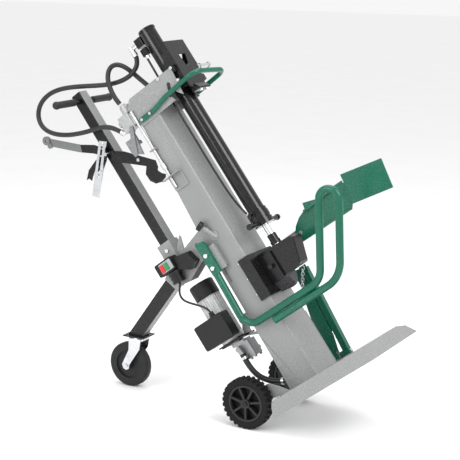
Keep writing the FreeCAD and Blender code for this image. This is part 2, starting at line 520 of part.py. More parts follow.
# ---- main axle, brackets and wheels ------------------------------------------
add("main_axle", fuse(pipe2((AXLE_X, -TRACK / 2 - 4, AXLE_Z), (AXLE_X, TRACK / 2 + 4, AXLE_Z), 10.0),
                      *[pipe2((AXLE_X, s * 156, AXLE_Z), (AXLE_X, s * 161, AXLE_Z), 15) for s in (-1, 1)]))
ab = []
for s in (-1, 1):
    y0, y1 = sorted((s * 150.0, s * 156.0))
    b_ = poly_y([(78, 60), (34, 60), (-88, 88), (-108, 96), (-112, 112), (-100, 126), (-80, 130), (8, 127), (44, 96)], y0, y1)
    b_ = b_.fuse(box(34, y0 - (14 if s > 0 else 0), 60, 78, y1 + (14 if s < 0 else 0), 64))
    b_ = b_.cut(pipe2((AXLE_X, y0 - 1, AXLE_Z), (AXLE_X, y1 + 1, AXLE_Z), 10.0)).removeSplitter()
    ab.append(b_)
add("axle_brackets", *ab)
for nm, s in (("near", -1), ("far", 1)):
    yo, yi = s * TRACK / 2, s * (TRACK / 2 - WHEEL_W)
    ym = (yo + yi) / 2
    ty = pipe2((AXLE_X, yi, AXLE_Z), (AXLE_X, yo, AXLE_Z), WHEEL_R)
    ty = round_edges(ty, 10, lambda e: isinstance(e.Curve, Part.Circle))
    ty = ty.cut(pipe2((AXLE_X, yi - s, AXLE_Z), (AXLE_X, yo + s, AXLE_Z), 74))
    add(nm + "_tyre", ty)
    rim = pipe2((AXLE_X, yi + s * 4, AXLE_Z), (AXLE_X, yo - s * 4, AXLE_Z), 73.99).cut(
        pipe2((AXLE_X, yi - s, AXLE_Z), (AXLE_X, yo + s, AXLE_Z), 66))
    hub = pipe2((AXLE_X, yi + s * 2, AXLE_Z), (AXLE_X, yo - s * 1, AXLE_Z), 19)
    sps = []
    for k in range(7):
        an = 2 * math.pi * k / 7 + math.radians(90 + 36.8)
        bx = box(12, -4.2, -20, 68, 4.2, 20)
        bx.Placement = FreeCAD.Placement(V(AXLE_X, ym, AXLE_Z), FreeCAD.Rotation(V(0, 1, 0), math.degrees(an)).multiply(FreeCAD.Rotation(V(1, 0, 0), 90)))
        sps.append(bx)
    disc = pipe2((AXLE_X, yi + s * 12, AXLE_Z), (AXLE_X, yi + s * 16, AXLE_Z), 68)
    rim = fuse(rim, hub, disc, *sps).cut(pipe2((AXLE_X, yi - s * 5, AXLE_Z), (AXLE_X, yo + s * 8, AXLE_Z), 10.05)).removeSplitter()
    add(nm + "_rim", rim)

# ---- electric motor, pump --------------------------------------------------
mo = rod((MOTOR_X, 0, 356), (0, 0, 1), 47, 208)
fins = []
for k in range(28):
    an = 360.0 * k / 28
    f_ = box(44, -1.3, 376, 51.5, 1.3, 556)
    f_.Placement = FreeCAD.Placement(V(MOTOR_X, 0, 0), FreeCAD.Rotation(V(0, 0, 1), an))
    fins.append(f_)
mo = fuse(mo, rod((MOTOR_X, 0, 352), (0, 0, 1), 52, 24), *fins)
fl = round_edges(box(MOTOR_X - 60, -52, 346, MOTOR_X + 60, 52, 352.01), 16, along("Z"))
mo = mo.fuse(fl).removeSplitter()
shaft = rod((MOTOR_X, 0, 330), (0, 0, 1), 7, 26)
add("motor_body", mo, )
fcv = rod((MOTOR_X, 0, 556.5), (0, 0, 1), 54, 68)
fcv = round_edges(fcv, 9, lambda e: isinstance(e.Curve, Part.Circle) and e.BoundBox.ZMin > 620)
fcv = fcv.cut(rod((MOTOR_X, 0, 556), (0, 0, 1), 51.7, 65))
for k in range(5):
    ring = rod((MOTOR_X, 0, 615), (0, 0, 1), 12 + 8 * k, 20).cut(rod((MOTOR_X, 0, 614), (0, 0, 1), 8.5 + 8 * k, 22))
    ring = ring.cut(fuse(box(MOTOR_X - 60, -2.5, 600, MOTOR_X + 60, 2.5, 640), box(MOTOR_X - 2.5, -60, 600, MOTOR_X + 2.5, 60, 640)))
    fcv = fcv.cut(ring)
add("fan_cover", fcv)
tb = round_edges(box(-198, -108, 362, -46, -53, 472), 8, along("Y"))
tb = round_edges(tb, 2.5, lambda e: e.BoundBox.YMax < -107.5)
lid = box(-202, -112, 398, -42, -108, 476)
tb = fuse(tb, box(-160, -55, 380, -90, -44, 450)).cut(rod((MOTOR_X, 0, 340), (0, 0, 1), 51.8, 240))
gl2 = fuse(rod((-95, -90, 471.5), (0, 0, 1), 13, 7), rod((-95, -90, 478), (0, 0, 1), 10.5, 14))
tb = fuse(tb, gl2)
add("terminal_box", tb)
pu = fuse(rod((MOTOR_X + 9, 0, 322), (0, 0, 1), 29, 24), round_edges(box(-134, -30, 322, -66, 30, 334), 6, along("Z")),
          round_edges(box(-118, -30, 252, -50, 30, 323), 6, along("Z")), round_edges(box(-121, -33, 268, -47, 33, 282), 6, along("Z")))
pb_ = [hexbolt((-84 + dx, dy, 252), (0, 0, -1), 11, 7) for dx in (-25, 25) for dy in (-21, 21)]
inlet_e = fuse(rod((-87, 0, 318), (1, 0, 0), 12, 14))
elbow = fuse(rod((-100, -29, 306), (0, -1, 0), 12, 24), rod((-98, -48, 308), (0.08, 0, -1), 11, 36))
pu = fuse(pu, *pb_)
add("gear_pump", pu.fuse(elbow).removeSplitter())
# bracket from the column to the motor flange
mbk = poly_y([(MOTOR_X + 60, 340), (40, 300), (40, 420), (-30, 420), (-60, 372)], -4, 4)
mbk = mbk.cut(pipe2((-12, -10, 352), (-12, 10, 352), 19))
mbk = mbk.fuse([box(MOTOR_X - 40, -50, 340.1, MOTOR_X + 78, 50, 345.9).cut(rod((MOTOR_X, 0, 330), (0, 0, 1), 39, 30)),
                poly_y([(col_rear(290) - 0.05, 290), (col_rear(430) - 0.05, 430), (37, 430), (37, 290)], -40, 40)])
mbk = mbk.fuse(rod((-32, -14, 400), (0, 1, 0), 17, 28))
mbk = mbk.cut(rod((MOTOR_X, 0, 330), (0, 0, 1), 39, 16)).cut(box(-164, -39, 260, -86, 39, 346.01))
add("motor_bracket", mbk)

# ---- switch, inlet, lead -----------------------------------------------------
SW = (-224.0, -133.0, 722.0, 778.0)      # x0, x1, z0, z1 of the switch face
sw = round_edges(box(SW[0], -84, SW[2], SW[1], -37, SW[3]), 7, along("Y"))
bez = round_edges(box(SW[0] + 22, -87, SW[2] + 7, SW[1] - 5, -83, SW[3] - 7), 3, along("Y"))
sw = sw.fuse(bez)
sw = sw.cut(box(-199, -90, 733, -180, -70, 765)).cut(box(-175, -90, 733, -156, -70, 765))
sw = sw.fuse(poly_y([(-150, 770), (-60, 752), (-44, 700), (-80, 682), (-140, 715)], -70, -34))
sw = sw.removeSplitter()
sw = sw.cut(rod((-163, -63.5, 721.9), (-0.05, 0, -1), 30.4, 70))
add("switch_housing", sw)
add("red_button", round_edges(box(-198.6, -91, 733.4, -180.4, -76, 764.6), 1.6, along("Y")))
add("green_button", round_edges(box(-174.6, -91, 733.4, -156.4, -76, 764.6), 1.6, along("Y")))
pin_ = fuse(rod((-163, -63.5, 716), (-0.05, 0, -1), 30, 12), rod((-163.5, -63.5, 706), (-0.05, 0, -1), 27, 40))
pin_ = pin_.cut(box(-230, -100, 721.9, -100, -20, 760))
for zz in (672, 690):
    pin_ = pin_.fuse(rod((-165, -63.5, zz), (0, 0, 1), 29, 4))
add("power_inlet", pin_.removeSplitter())

# ---- valve -------------------------------------------------------------------
vb = fuse(round_edges(box(-12, -78, 1292, 50, -30, 1362), 8, along("Z")),
          rod((36, -52, 1360), (0, 0, 1), 22, 34), rod((30, -52, 1392), (0, 0, 1), 13, 12),
          rod((8, -54, 1294), (0, 0, -1), 13, 12), rod((-12, -54, 1340), (-1, 0, 0), 12, 14))
vb = vb.fuse([box(50, -76, 1300, 92, -32, 1350)])
vb = vb.cut(poly_y([(col_rear(1250) - 0.12, 1250), (200, 1250), (200, COL_TOP + .12), (col_rear(COL_TOP) - 0.12, COL_TOP + .12)], -100, 100)).removeSplitter()
vb = vb.cut(rod((8, -54, 1240), (0, 0, 1), 7.06, 95))
add("valve_body", vb)
add("hose_fittings", fuse(rod((-37, -56, 1315), (0.62, 0.0, -0.78), 12.5, 16), rod((-29, -56, 1304), (1, 0, 0.1), 10, 20)).cut(box(-12, -78, 1292, 50, -30, 1362)))

# ---- frame bolts -------------------------------------------------------------
fbs = []
for z in (1318, 1381):
    for s in (-1, 1):
        fbs.append(hexbolt((342 if s < 0 or z < 1350 else 333, s * 94, z + (7 if z < 1350 else 0)), (0, s, 0), 13, 6))
fbs.append(hexbolt((264, -94, 1379), (0, -1, 0), 13, 5))
for s in (-1, 1):
    for x, z in ((108, 1289), (156, 1290)):
        fbs.append(hexbolt((x, s * 103.1, z), (0, s, 0), 12, 5, 4.0, 9))
for xx, zz in HB:
    fbs.append(hexbolt((xx, GY - 8, zz), (0, -1, 0), 17, 8, 6.0, 26))
fbs.append(hexbolt((-160, -33.1, 808), (0, -1, 0), 16, 7, 6.0, 72))
for y in (-22, 22):
    fbs.append(hexbolt((368, y, 1259.2), (-0.1, 0, -1), 12, 7))
stud = fuse(rod((351, BW, 1368), (0, 1, 0), 9, 98), rod((351, BW + 22, 1368), (0, 1, 0), 11, 6), rod((351, BW + 90, 1368), (0, 1, 0), 11.5, 9))
fbs.append(stud)
add("frame_bolts", *fbs)

# guard hoop's mounting plate on the column
gp = fuse(box(30, GY + 8.02, 606, 100, GY + 14, 712), box(56, GY + 13.5, 612, 96, -90, 706).cut(box(60, GY + 14, 600, 92, -90, 720)))
for xx, zz in HB:
    gp = gp.cut(pipe2((xx, -130, zz), (xx, -80, zz), 6.0))
PARTS["column"][0] = PARTS["column"][0].fuse(gp).removeSplitter()

# ---- control rocker ------------------------------------------------------------
RP = (-154.0, 1283.0)                 # rocker pivot on the handle's side face
ra_pts = [(-168, 1252), (-172, 1276), (-160, 1300), (-89, 1251), (20, 1140), (14, 1112), (4, 1101), (12, 1084), (28, 1068),
          (20, 1057), (-8, 1052), (-34, 1060), (-52, 1084), (-54, 1118), (-31, 1143), (-91, 1191)]
ra = poly_y(ra_pts, -37.5, -32.5)
ra = ra.cut(pipe2((RP[0], -50, RP[1]), (RP[0], -20, RP[1]), 5.06))
add("rocker_arm", ra)
lv_d = V(-215 + 394, 0, 1330 - 1497); lv_d.normalize()
lb = poly_y([(-407, 1501), (-392, 1512), (-378, 1498), (-256, 1390), (-196, 1351), (-158, 1304), (-158, 1272), (-168, 1274), (-218, 1322), (-278, 1366), (-402, 1476)], -43.5, -37.6)
lb = lb.fuse(rod((-394, -37.6, 1497), (0, -1, 0), 19, 12))
lb = lb.fuse(rod((-392, -37.6, 1470), (0, -1, 0), 12, 10))
lb = lb.cut(rod((-394, -30, 1497), (0, -1, 0), 6, 30)).cut(pipe2((RP[0], -60, RP[1]), (RP[0], -20, RP[1]), 5.06)).removeSplitter()
add("lever_bar", lb)
def claw(pts, y0, y1):
    return poly_y(pts, y0, y1)
cl1 = claw([(-224, 1294), (-262, 1284), (-281, 1279), (-316, 1251), (-300, 1250), (-296, 1236), (-280, 1248), (-249, 1266), (-190, 1262), (-168, 1290)], -49.5, -43.6)
cl2 = claw([(-177, 1262), (-215, 1240), (-255, 1203), (-259, 1220), (-246, 1226), (-248, 1238), (-226, 1258), (-200, 1282), (-170, 1292), (-160, 1280)], -55.5, -49.6)
add("claws", cl1, cl2)
sl = poly_y([(-151, 1346), (-123, 1325), (-298, 1155), (-324, 1180)], -62.5, -57.5)
def on(k, w):
    a_, b_ = V(-137, 0, 1335), V(-311, 0, 1168)
    d = b_.sub(a_); d.normalize()
    m_ = V(d.z, 0, -d.x)
    q = a_ + d * k + m_ * w
    return (q.x, q.z)
sl = sl.cut(poly_y([on(22, -5), on(22, 5), on(160, 5), on(160, -5)], -70, -50))
cp = on(138, 0)
sl = sl.fuse([box(cp[0] - 20, -68, cp[1] - 5, cp[0] + 20, -62.4, cp[1] + 5)]).removeSplitter()
add("slotted_bar", sl)
pb2 = [fuse(pipe2((RP[0], -27.1, RP[1]), (RP[0], -66, RP[1]), 5.0), hexbolt((RP[0], -66, RP[1]), (0, -1, 0), 15, 6)),
       hexbolt((-47, -37.5, 1184), (0, -1, 0), 14, 6),
       hexbolt((on(12, 0)[0], -62.5, on(12, 0)[1]), (0, -1, 0), 12, 5),
       pipe2((on(30, 0)[0] - 2, -43.6, on(30, 0)[1] - 2), (on(30, 0)[0] - 2, -57.4, on(30, 0)[1] - 2), 4.0)]
add("pivot_bolts", *pb2)

# ---- spool link, stroke rod ----------------------------------------------------
lk = fuse(poly_y([(42, 1300), (26, 1306), (-28, 1208), (-24, 1190), (-8, 1190)], -84, -79.2),
          poly_y([(26, 1264), (-33, 1264), (-33, 1216), (-20, 1200), (16, 1178)], -79.3, -74),
          box(-2, -76, 1228, 18, -45, 1242), rod((8, -54, 1236), (0, 0, 1), 7.0, 84))
add("valve_link", lk)
SRX0, SRZ0, SRX1, SRZ1 = 79.0, 1345.0, 82.0, 985.0
sr = pipe2((81, -101.5, 985), (81, -101.5, 1345), 6.0)
sr = sr.fuse([rod((81, -101.5, 1070), (0, 0, 1), 10, 24)])
add("stroke_rod", sr.removeSplitter())
# guides of the stroke rod: an eye plate at each end, welded to the column
eyes = []
e_ = box(66, -113, 1160, 96, -89.9, 1166).cut(pipe2((81, -101.5, 1159), (81, -101.5, 1167), 6.08))
eyes.append(e_)
# lower guide: a pressed pad on the column with a shelf that the rod runs through
pad = round_edges(box(66, -95, 969, 138, -89.5, 1034), 5, along("Y"))
pad = pad.cut(box(76, -97, 979, 128, -93, 1022))
shelf = box(44, -116, 1031, 138, -89.9, 1035)
eyes.append(fuse(pad, shelf).cut(pipe2((81, -101.5, 960), (81, -101.5, 1040), 6.08)))
PARTS["column"][0] = PARTS["column"][0].fuse(eyes).removeSplitter()

# ---- hoses, pipe, lead ---------------------------------------------------------
HOSE_LONG = [(178, -2, 1538), (172, -7, 1513), (148, -13, 1495), (108, -18, 1487), (62, -22, 1495), (15, -26, 1513), (-35, -34, 1541),
             (-88, -42, 1574), (-145, -49, 1607), (-200, -53, 1632), (-255, -56, 1644), (-308, -59, 1637), (-347, -62, 1610), (-364, -64, 1570),
             (-354, -66, 1526), (-318, -67, 1484), (-268, -67, 1449), (-215, -66, 1423), (-166, -64, 1404), (-122, -61, 1391), (-84, -58, 1372), (-57, -56, 1346), (-37, -56, 1315)]
add("hose_long", hose("hose_long", HOSE_LONG, HOSE_D))
HOSE_SHORT = [(23, -52, 1414), (21, -55, 1438), (23, -58, 1464), (29, -60, 1495), (40, -59, 1526), (60, -54, 1552), (82, -44, 1562), (102, -30, 1554), (113, -12, 1532), (118, 6, 1501), (126, 15, 1465), (139, 21, 1423), (146, 24, 1396)]
add("hose_short", hose("hose_short", HOSE_SHORT, HOSE_D))
add("hose_fittings", fuse(rod((146, 24, 1398), (0.3, 0.12, -0.94), 12.5, 12), box(135, 12, 1380.1, 163, 40, 1392)))
add("suction_hose", hose("suction_hose", [(-95, -48, 282), (-95, -49, 254), (-95, -48, 224), (-91, -46, 196), (-82, -43, 169), (-66, -38, 146), (-45, -33, 126), (-21, -29, 111), (4, -26, 100)], SUCT_D))
pp_ = [(247, -50, 1486), (246, -50.5, 1440), (244.5, -50.5, 1370), (243, -50, 1280), (242, -50, 1170), (241.5, -50, 1050), (242, -50, 930), (245, -50.5, 850), (251, -52, 800), (260, -55, 765), (270, -60, 738)]
add("steel_pipe", hose("steel_pipe", pp_, PIPE_D))
LEAD = [(-166, -63, 665), (-178, -65, 650), (-190, -68, 634), (-193, -73, 615), (-186, -79, 596), (-170, -83, 578), (-150, -86, 560), (-129, -88, 542), (-110, -89, 523), (-98, -90, 505), (-95, -90, 492)]
add("switch_cable", hose("switch_cable", LEAD, LEAD_D))
cl_ = [fuse(rod((2, -26, 101), (0.88, 0.13, -0.4), 9, 44).fuse(rod((30, -22, 88), (1, 0, 0), 14, 10)).cut(box(40.9, -60, 40, 120, 60, 140)).cut(box(-20, -60, 0, 120, 60, 60.02)))]
for p, d in (((-95, -48.3, 270), (0, 0, -1)), ((-12, -27.9, 107), (0.9, 0.11, -0.4))):
    r_ = rod(p, d, SUCT_D / 2 + 2.4, 10).cut(rod(p, d, SUCT_D / 2, 10))
    cl_.append(r_)
add("hose_clamps", *cl_)

# ---- lean back, stand on the floor, centre -------------------------------------
def lean(shape):
    s = shape.copy()
    pl = FreeCAD.Placement(V(0, 0, WHEEL_R), FreeCAD.Rotation(V(0, 1, 0), -TILT)).multiply(
        FreeCAD.Placement(V(-AXLE_X, 0, -AXLE_Z), FreeCAD.Rotation()))
    s.Placement = pl.multiply(s.Placement)
    return s

OUT = {}
bb = None
for name, solids in PARTS.items():
    flat = []
    for s in solids:
        flat.extend(s.Solids)
    sh_ = flat[0] if len(flat) == 1 else Part.makeCompound(flat)
    sh_ = lean(sh_)
    OUT[name] = sh_
    b1 = sh_.optimalBoundingBox(True, False) if hasattr(sh_, "optimalBoundingBox") else sh_.BoundBox
    bb = FreeCAD.BoundBox(b1) if bb is None else (bb.add(b1) or bb)
SHIFT = V(-(bb.XMin + bb.XMax) / 2, -(bb.YMin + bb.YMax) / 2, -bb.ZMin)

def to_row(p):
    """Machine frame point to the row frame."""
    pl = FreeCAD.Placement(V(0, 0, WHEEL_R), FreeCAD.Rotation(V(0, 1, 0), -TILT)).multiply(
        FreeCAD.Placement(V(-AXLE_X, 0, -AXLE_Z), FreeCAD.Rotation()))
    return pl.multVec(V(*p)) + SHIFT

for name in OUT:
    s = OUT[name].copy()
    s.Placement = FreeCAD.Placement(SHIFT, FreeCAD.Rotation()).multiply(s.Placement)
    OUT[name] = s
    s.exportStep("parts/%s.step" % name)
print("nodes", len(OUT), "shift", SHIFT, "box", bb)
for name, s in OUT.items():
    if not s.isValid() or s.Volume <= 0:
        print("BAD", name, s.isValid(), s.Volume)
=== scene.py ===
import json
import math
import bpy
import bmesh
from mathutils import Vector, Matrix


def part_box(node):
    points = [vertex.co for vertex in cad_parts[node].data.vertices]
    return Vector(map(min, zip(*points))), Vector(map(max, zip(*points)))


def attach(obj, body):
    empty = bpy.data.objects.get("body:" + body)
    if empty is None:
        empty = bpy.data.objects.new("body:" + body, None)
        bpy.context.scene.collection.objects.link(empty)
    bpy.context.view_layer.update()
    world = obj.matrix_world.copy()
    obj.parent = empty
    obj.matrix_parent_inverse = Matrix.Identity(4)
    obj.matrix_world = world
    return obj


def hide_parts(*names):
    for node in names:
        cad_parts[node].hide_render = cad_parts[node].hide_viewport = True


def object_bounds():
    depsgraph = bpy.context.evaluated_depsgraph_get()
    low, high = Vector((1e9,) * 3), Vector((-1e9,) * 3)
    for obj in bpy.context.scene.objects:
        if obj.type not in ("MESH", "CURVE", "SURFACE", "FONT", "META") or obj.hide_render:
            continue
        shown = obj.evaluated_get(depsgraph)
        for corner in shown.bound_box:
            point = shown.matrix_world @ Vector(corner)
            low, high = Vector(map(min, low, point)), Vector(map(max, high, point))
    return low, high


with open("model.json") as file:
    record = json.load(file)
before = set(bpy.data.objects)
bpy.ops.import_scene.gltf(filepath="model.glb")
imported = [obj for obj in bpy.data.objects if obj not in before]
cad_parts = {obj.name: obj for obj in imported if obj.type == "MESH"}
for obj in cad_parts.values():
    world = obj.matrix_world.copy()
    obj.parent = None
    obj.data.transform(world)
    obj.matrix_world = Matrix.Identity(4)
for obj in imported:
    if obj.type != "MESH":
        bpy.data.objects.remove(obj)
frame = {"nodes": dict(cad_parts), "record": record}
cad_lo, cad_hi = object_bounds()
NODES = frame["nodes"]
scene = bpy.context.scene

# ---------------------------------------------------------------------------
# The machine leans back TILT degrees about its axle.  A point of the upright
# machine (millimetres: X forward, Y across, Z up the column) goes to the row
# frame (metres) with M().
# ---------------------------------------------------------------------------
TILT = math.radians(36.8)
CT, ST = math.cos(TILT), math.sin(TILT)
AX, AZ = -93.8, 105.6
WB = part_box("near_tyre")
AXLE = Vector(((WB[0][0] + WB[1][0]) / 2, 0.0, (WB[0][2] + WB[1][2]) / 2))
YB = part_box("base_plate")
AXLE.y = (YB[0][1] + YB[1][1]) / 2


def M(x, y, z):
    return Vector((AXLE.x + ((x - AX) * CT - (z - AZ) * ST) / 1000,
                   AXLE.y + y / 1000,
                   AXLE.z + ((x - AX) * ST + (z - AZ) * CT) / 1000))


# ---- camera ----------------------------------------------------------------
cd = bpy.data.cameras.new("cam")
cam = bpy.data.objects.new("cam", cd)
scene.collection.objects.link(cam)
psi, el, ro = math.radians(29.55), math.radians(12.24), math.radians(0.41)
f = Vector((-math.sin(psi) * math.cos(el), math.cos(psi) * math.cos(el), -math.sin(el)))
r = Vector((math.cos(psi), math.sin(psi), 0))
u = r.cross(f)
r2 = r * math.cos(ro) + u * math.sin(ro)
u2 = u * math.cos(ro) - r * math.sin(ro)
cam.matrix_world = Matrix.Translation(M(-92 + 2360.08 * CT + 1757.0 * ST, -4507.94, 108 - 2360.08 * ST + 1757.0 * CT)) @ Matrix((
    (r2.x, u2.x, -f.x), (r2.y, u2.y, -f.y), (r2.z, u2.z, -f.z))).to_4x4()
cd.sensor_width = 36.0
cd.lens = 103.0
cd.clip_start, cd.clip_end = 0.05, 60.0
scene.camera = cam

# ---- materials -------------------------------------------------------------
def new_mat(name):
    m = bpy.data.materials.new(name)
    m.use_nodes = True
    nt = m.node_tree
    b = nt.nodes["Principled BSDF"]
    return m, nt, b


def noise(nt, scale, detail=4.0, rough=0.55, vec=None):
    n = nt.nodes.new("ShaderNodeTexNoise")
    n.inputs["Scale"].default_value = scale
    n.inputs["Detail"].default_value = detail
    n.inputs["Roughness"].default_value = rough
    if vec is not None:
        nt.links.new(vec, n.inputs["Vector"])
    return n


def ramp(nt, src, lo, hi, p0=0.3, p1=0.7):
    rmp = nt.nodes.new("ShaderNodeValToRGB")
    rmp.color_ramp.elements[0].position = p0
    rmp.color_ramp.elements[1].position = p1
    rmp.color_ramp.elements[0].color = (*lo, 1) if len(lo) == 3 else lo
    rmp.color_ramp.elements[1].color = (*hi, 1) if len(hi) == 3 else hi
    nt.links.new(src, rmp.inputs["Fac"])
    return rmp


def maprange(nt, src, a, b, c, d):
    m = nt.nodes.new("ShaderNodeMapRange")
    m.inputs["From Min"].default_value = a
    m.inputs["From Max"].default_value = b
    m.inputs["To Min"].default_value = c
    m.inputs["To Max"].default_value = d
    nt.links.new(src, m.inputs["Value"])
    return m


def bump(nt, b, srcs):
    """srcs: (height output, strength, distance in metres)."""
    last = None
    for out, st, di in srcs:
        bp = nt.nodes.new("ShaderNodeBump")
        bp.inputs["Strength"].default_value = st
        bp.inputs["Distance"].default_value = di
        nt.links.new(out, bp.inputs["Height"])
        if last is not None:
            nt.links.new(last.outputs["Normal"], bp.inputs["Normal"])
        last = bp
    nt.links.new(last.outputs["Normal"], b.inputs["Normal"])


def coords(nt, scale=(1, 1, 1), rot=(0, 0, 0)):
    tc = nt.nodes.new("ShaderNodeTexCoord")
    mp = nt.nodes.new("ShaderNodeMapping")
    mp.inputs["Scale"].default_value = scale
    mp.inputs["Rotation"].default_value = rot
    nt.links.new(tc.outputs["Object"], mp.inputs["Vector"])
    return mp.outputs["Vector"]


def paint(name, c, rough=0.38, var=0.06, peel=0.06, coat=0.0, edge=None, metallic=0.0, spec=0.32):
    m, nt, b = new_mat(name)
    v = coords(nt)
    big = noise(nt, 9.0, 5.0, 0.6, v)
    lo = tuple(x * (1 - var) for x in c)
    hi = tuple(min(1, x * (1 + var)) for x in c)
    cr = ramp(nt, big.outputs["Fac"], lo, hi)
    out = cr.outputs["Color"]
    if edge is not None:
        geo = nt.nodes.new("ShaderNodeNewGeometry")
        fine = noise(nt, 160.0, 3.0, 0.6, v)
        pt = maprange(nt, geo.outputs["Pointiness"], 0.515, 0.56, 0.0, 1.0)
        fm = maprange(nt, fine.outputs["Fac"], 0.45, 0.7, 0.0, 1.0)
        mu = nt.nodes.new("ShaderNodeMath")
        mu.operation = "MULTIPLY"
        nt.links.new(pt.outputs[0], mu.inputs[0])
        nt.links.new(fm.outputs[0], mu.inputs[1])
        mx = nt.nodes.new("ShaderNodeMix")
        mx.data_type = "RGBA"
        nt.links.new(mu.outputs[0], mx.inputs[0])
        nt.links.new(out, mx.inputs[6])
        mx.inputs[7].default_value = (*edge, 1)
        out = mx.outputs[2]
    nt.links.new(out, b.inputs["Base Color"])
    mid = noise(nt, 38.0, 4.0, 0.6, v)
    rr = maprange(nt, mid.outputs["Fac"], 0.3, 0.7, max(0.03, rough - 0.06), rough + 0.07)
    nt.links.new(rr.outputs[0], b.inputs["Roughness"])
    b.inputs["Metallic"].default_value = metallic
    b.inputs["Specular IOR Level"].default_value = spec
    if coat:
        b.inputs["Coat Weight"].default_value = coat
        b.inputs["Coat Roughness"].default_value = 0.12
    fine2 = noise(nt, 700.0, 2.0, 0.5, v)
    orange = noise(nt, 260.0, 2.0, 0.5, v)
    bump(nt, b, [(fine2.outputs["Fac"], peel * 0.35, 0.0004), (orange.outputs["Fac"], peel * 0.5, 0.0008)])
    return m


def metal(name, c, rough=0.25, var=0.08, brush=None, spot=0.0, bumpy=0.05):
    m, nt, b = new_mat(name)
    v = coords(nt)
    b.inputs["Metallic"].default_value = 1.0
    big = noise(nt, 30.0, 5.0, 0.6, v)
    cr = ramp(nt, big.outputs["Fac"], tuple(x * (1 - var) for x in c), tuple(min(1, x * (1 + var)) for x in c))
    nt.links.new(cr.outputs["Color"], b.inputs["Base Color"])
    sv = coords(nt, brush, (0, TILT, 0)) if brush else v
    st = noise(nt, 60.0 if brush else 180.0, 4.0, 0.6, sv)
    rr = maprange(nt, st.outputs["Fac"], 0.3, 0.7, max(0.02, rough * 0.75), rough * 1.3)
    nt.links.new(rr.outputs[0], b.inputs["Roughness"])
    gr = noise(nt, 600.0, 2.0, 0.5, v)
    bump(nt, b, [(st.outputs["Fac"], bumpy * 0.4, 0.0003), (gr.outputs["Fac"], bumpy * 0.3, 0.0003)])
    return m


def cast(name, c, rough=0.5, metallic=0.6):
    m, nt, b = new_mat(name)
    v = coords(nt)
    b.inputs["Metallic"].default_value = metallic
    big = noise(nt, 60.0, 6.0, 0.65, v)
    cr = ramp(nt, big.outputs["Fac"], tuple(x * 0.82 for x in c), tuple(min(1, x * 1.12) for x in c))
    nt.links.new(cr.outputs["Color"], b.inputs["Base Color"])
    vo = nt.nodes.new("ShaderNodeTexVoronoi")
    vo.inputs["Scale"].default_value = 700.0
    nt.links.new(v, vo.inputs["Vector"])
    rr = maprange(nt, big.outputs["Fac"], 0.3, 0.7, rough - 0.1, rough + 0.12)
    nt.links.new(rr.outputs[0], b.inputs["Roughness"])
    bump(nt, b, [(vo.outputs["Distance"], 0.10, 0.0006), (big.outputs["Fac"], 0.12, 0.001)])
    return m


def rubber(name, c, rough=0.62, grain=420.0, strength=0.18, spec=0.4, dust=0.12):
    m, nt, b = new_mat(name)
    v = coords(nt)
    big = noise(nt, 26.0, 6.0, 0.65, v)
    cr = ramp(nt, big.outputs["Fac"], c, tuple(min(1, x + 0.022 * dust / 0.12) for x in c), 0.35, 0.8)
    nt.links.new(cr.outputs["Color"], b.inputs["Base Color"])
    rr = maprange(nt, big.outputs["Fac"], 0.3, 0.75, rough - 0.08, rough + 0.1)
    nt.links.new(rr.outputs[0], b.inputs["Roughness"])
    b.inputs["Specular IOR Level"].default_value = spec
    gr = noise(nt, grain, 3.0, 0.6, v)
    bump(nt, b, [(gr.outputs["Fac"], strength, 0.0006)])
    return m


def plastic(name, c, rough=0.45, grain=900.0, strength=0.12, coat=0.0):
    m, nt, b = new_mat(name)
    b.inputs["Specular IOR Level"].default_value = 0.35
    v = coords(nt)
    big = noise(nt, 22.0, 4.0, 0.6, v)
    cr = ramp(nt, big.outputs["Fac"], tuple(x * 0.9 for x in c), tuple(min(1, x * 1.1 + 0.002) for x in c))
    nt.links.new(cr.outputs["Color"], b.inputs["Base Color"])
    rr = maprange(nt, big.outputs["Fac"], 0.3, 0.7, rough - 0.05, rough + 0.06)
    nt.links.new(rr.outputs[0], b.inputs["Roughness"])
    if coat:
        b.inputs["Coat Weight"].default_value = coat
    vo = nt.nodes.new("ShaderNodeTexVoronoi")
    vo.inputs["Scale"].default_value = grain
    nt.links.new(v, vo.inputs["Vector"])
    bump(nt, b, [(vo.outputs["Distance"], strength * 0.5, 0.0004)])
    return m


